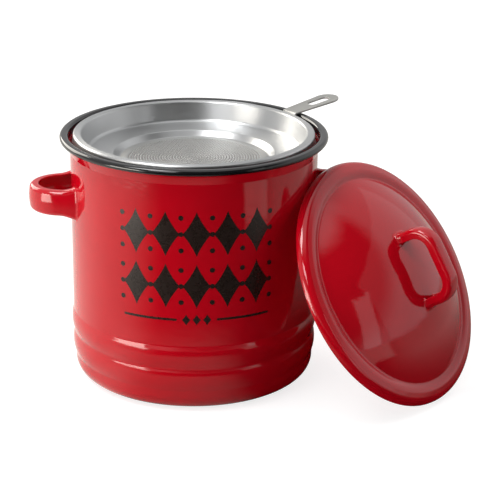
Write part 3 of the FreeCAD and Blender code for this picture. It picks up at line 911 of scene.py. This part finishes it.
def floor_material():
    """White to the camera, keeping a faint shadow. What is glossy sees painted light on it, as the
    lamps would leave it: brightest on their side, at the left and behind, and fading round to the
    front. The matt floor is painted darker on the dim side."""
    material, tree = new_material("floor_white")
    path = add(tree, "ShaderNodeLightPath").outputs
    glow = add(tree, "ShaderNodeEmission", {"Color": WHITE, "Strength": FLOOR_SEEN})
    pale = add(tree, "ShaderNodeBsdfDiffuse", {"Color": FLOOR_SEEN_TONE})
    seen = add(tree, "ShaderNodeAddShader", {0: glow.outputs[0], 1: pale.outputs[0]})
    place = add(tree, "ShaderNodeTexCoord").outputs["Object"]
    away = add(tree, "ShaderNodeVectorMath", {0: place}, operation="LENGTH").outputs["Value"]
    glows = []
    for azimuth, edge, strength, distances in FLOOR_GLOWS:
        parts = [smooth(tree, bearing_to(tree, place, azimuth), *edge)]
        if distances:
            parts.append(smooth(tree, away, *distances))
        glows.append(combined(tree, "MULTIPLY", *parts, strength))
    mirrored = add(tree, "ShaderNodeEmission", {"Color": FLOOR_MIRRORED,
                                                "Strength": combined(tree, "ADD", *glows)})
    side = smooth(tree, bearing_to(tree, place, FLOOR_BRIGHT_AZIMUTH), *FLOOR_TONE_EDGE)
    matt = add(tree, "ShaderNodeBsdfDiffuse", {"Color": spread_over(tree, side, *FLOOR_TONES)})
    other = add(tree, "ShaderNodeMixShader", {0: path["Is Glossy Ray"], 1: matt.outputs[0],
                                              2: mirrored.outputs[0]})
    mix = add(tree, "ShaderNodeMixShader", {0: path["Is Camera Ray"], 1: other.outputs[0],
                                            2: seen.outputs[0]})
    add(tree, "ShaderNodeOutputMaterial", {"Surface": mix.outputs[0]})
    return material


def light_room():
    """Pale light from all round, brightest overhead. The front is dark, the wider the higher it
    is, but for its top, and a fainter dark band goes up its middle. It is plain white where the
    camera sees past the floor."""
    world = bpy.data.worlds.new("room")
    bpy.context.scene.world = world
    world.use_nodes = True
    tree = world.node_tree
    tree.nodes.clear()
    path = add(tree, "ShaderNodeLightPath").outputs
    way = add(tree, "ShaderNodeTexCoord").outputs["Generated"]
    height = add(tree, "ShaderNodeSeparateXYZ", {0: way}).outputs["Z"]
    widening = combined(tree, "MULTIPLY", height, DARK_WIDENING)
    nearness = combined(tree, "ADD", bearing_to(tree, way, DARK_AZIMUTH), widening)
    front = combined(tree, "MULTIPLY", smooth(tree, nearness, *DARK_EDGE),
                     smooth(tree, height, *DARK_TOP_EDGE), DARK_DEPTH)
    band = combined(tree, "MULTIPLY", smooth(tree, bearing_to(tree, way, BAND_AZIMUTH), *BAND_EDGE),
                    smooth(tree, height, *BAND_TOP_EDGE), BAND_DEPTH)
    light = spread_over(tree, smooth(tree, height, *ROOM_LIGHT_EDGE), *ROOM_LIGHTS)
    strength = spread_over(tree, combined(tree, "MAXIMUM", front, band), light, 0.0)
    dim = add(tree, "ShaderNodeBackground", {"Color": WHITE, "Strength": strength})
    white = add(tree, "ShaderNodeBackground", {"Color": WHITE, "Strength": 1.0})
    mix = add(tree, "ShaderNodeMixShader", {0: path["Is Camera Ray"], 1: dim.outputs[0],
                                            2: white.outputs[0]})
    add(tree, "ShaderNodeOutputWorld", {"Surface": mix.outputs[0]})


def softbox(name, place, aim, size, watts, colour):
    """A rectangular lamp that faces its aim and that the camera doesn't see."""
    light = bpy.data.lights.new(name, "AREA")
    light.shape, light.size, light.size_y = "RECTANGLE", *size
    light.energy, light.color = watts, colour
    lamp = bpy.data.objects.new(name, light)
    bpy.context.scene.collection.objects.link(lamp)
    lamp.visible_camera = False
    way = Vector(aim) - Vector(place)
    lamp.location, lamp.rotation_euler = place, way.to_track_quat("-Z", "Y").to_euler()


def set_camera():
    """A camera turned by its yaw from +Y, its pitch downwards and its roll about its own axis."""
    lens = bpy.data.cameras.new("camera")
    lens.lens, lens.sensor_width = CAMERA_LENS, CAMERA_SENSOR
    view = bpy.data.objects.new("camera", lens)
    bpy.context.scene.collection.objects.link(view)
    level = math.cos(CAMERA_PITCH)
    forward = Vector((math.sin(CAMERA_YAW) * level, math.cos(CAMERA_YAW) * level,
                      -math.sin(CAMERA_PITCH)))
    side = Vector((math.cos(CAMERA_YAW), -math.sin(CAMERA_YAW), 0))
    top = side.cross(forward)
    across = side * math.cos(CAMERA_ROLL) + top * math.sin(CAMERA_ROLL)
    upward = top * math.cos(CAMERA_ROLL) - side * math.sin(CAMERA_ROLL)
    turn = Matrix((across, upward, -forward)).transposed().to_4x4()
    view.matrix_world = Matrix.Translation(CAMERA_PLACE) @ turn
    bpy.context.scene.camera = view


def lay_floor():
    """A square just below the pot's foot."""
    mesh = bpy.data.meshes.new("floor")
    corners = [(x * FLOOR_HALF, y * FLOOR_HALF, -FLOOR_DROP)
               for x, y in ((-1, -1), (1, -1), (1, 1), (-1, 1))]
    mesh.from_pydata(corners, [], [(0, 1, 2, 3)])
    mesh.materials.append(floor_material())
    floor = bpy.data.objects.new("floor", mesh)
    bpy.context.scene.collection.objects.link(floor)


red = enamel("enamel_red_glass")
bright = steel("steel_turned", *TURNED_STEEL)
satin = steel("steel_satin", *SATIN_STEEL)
sieve = steel("steel_sieve", *SIEVE_STEEL)
ink = print_ink("ink_charcoal")

shell = turned(pot_outline(), POT_WALL, True)
mark_black_and_shade(make_piece("pot_shell", shell, "pot", red, ["pot_body"]), shell)
handle = side_handle()
make_piece("pot_handle_right", handle, "pot", red, ["handle_right"])
half_turn = np.array([-1, -1, 1])
make_piece("pot_handle_left", (handle[0] * half_turn, handle[1], handle[2] * half_turn), "pot",
           red, ["handle_left"])

pan = turned(pan_outline(), PAN_SHEET, False)
make_piece("strainer_bowl", pan, "strainer", bright, ["strainer_pan"])
mesh_disc = make_piece("strainer_filter", filter_sheet(), "strainer", sieve,
                       ["filter_disc"])
thicken(mesh_disc, FILTER_SHEET)
tab = make_piece("strainer_grip", tab_sheet(), "strainer", satin, ["strainer_tab"])
thicken(tab, TAB_SHEET)
edge = tab.modifiers.new("edge", "BEVEL")
edge.width, edge.segments, edge.harden_normals = TAB_EDGE * MM, TAB_EDGE_CUTS, True

leaning = lid_frame()
lid = placed(turned(lid_outline(), LID_SHEET, True), leaning)
make_piece("lid_cover", lid, "lid", red, ["lid_shell"])
make_piece("lid_grip", placed(lid_arch(), leaning), "lid", red, ["lid_handle"])

make_piece("pot_print", front_print(), "pot", ink)

light_room()
for name, lamp in LAMPS.items():
    softbox(name, *lamp)
lay_floor()
set_camera()
bpy.context.scene.view_settings.view_transform = "Standard"
